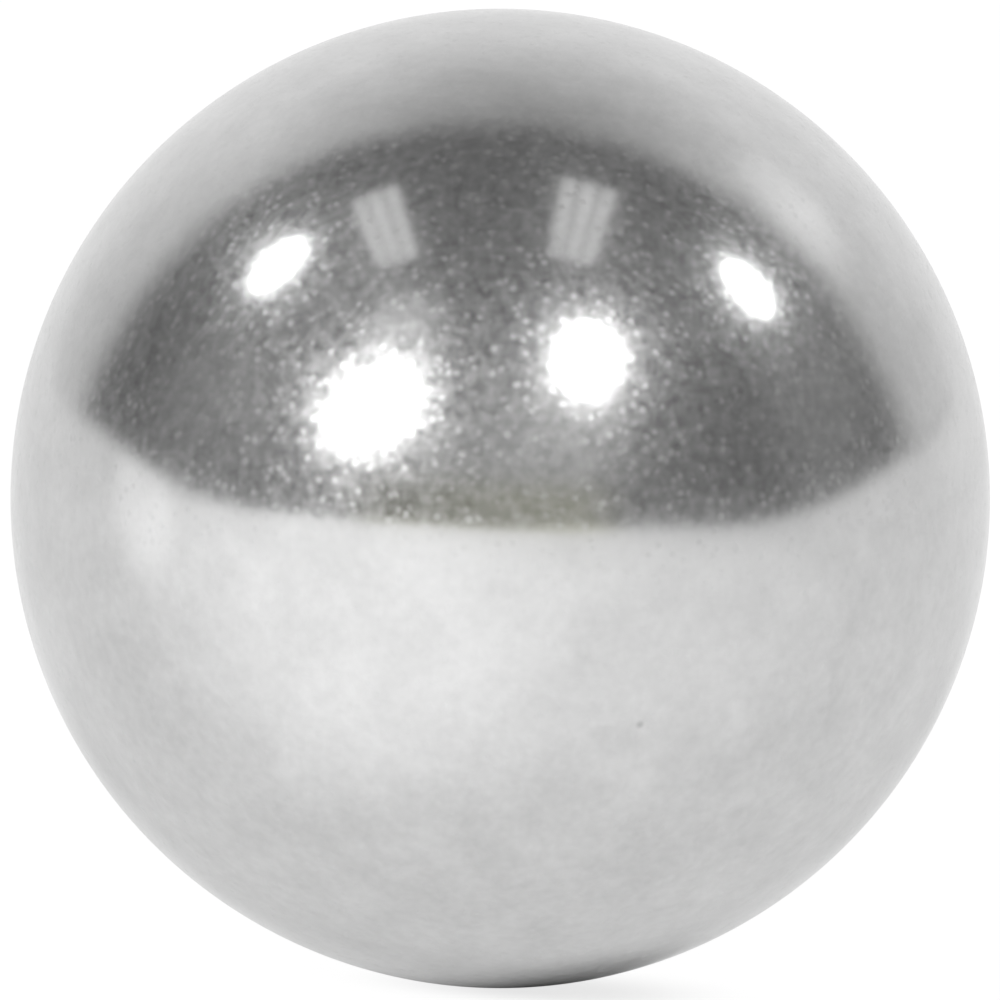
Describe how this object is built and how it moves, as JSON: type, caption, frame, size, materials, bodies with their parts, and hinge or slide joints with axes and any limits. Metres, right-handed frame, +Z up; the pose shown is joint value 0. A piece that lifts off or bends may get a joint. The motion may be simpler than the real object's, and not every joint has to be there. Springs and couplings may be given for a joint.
{
  "type": "steel ball",
  "caption": "Solid polished steel ball, one true sphere, used as a rolling element, a valve or detent ball, a spacer or a small weight.",
  "frame": {"origin": "centre of the ball", "axes": "+Z up, with the seat at the lowest point of the ball on -Z; every line through the centre is an axis of symmetry"},
  "size_m": [0.0254, 0.0254, 0.0254],
  "materials": {
    "polished_steel": "polished"
  },
  "bodies": {
    "root": {"ball": "polished_steel"}
  },
  "joints": []
}
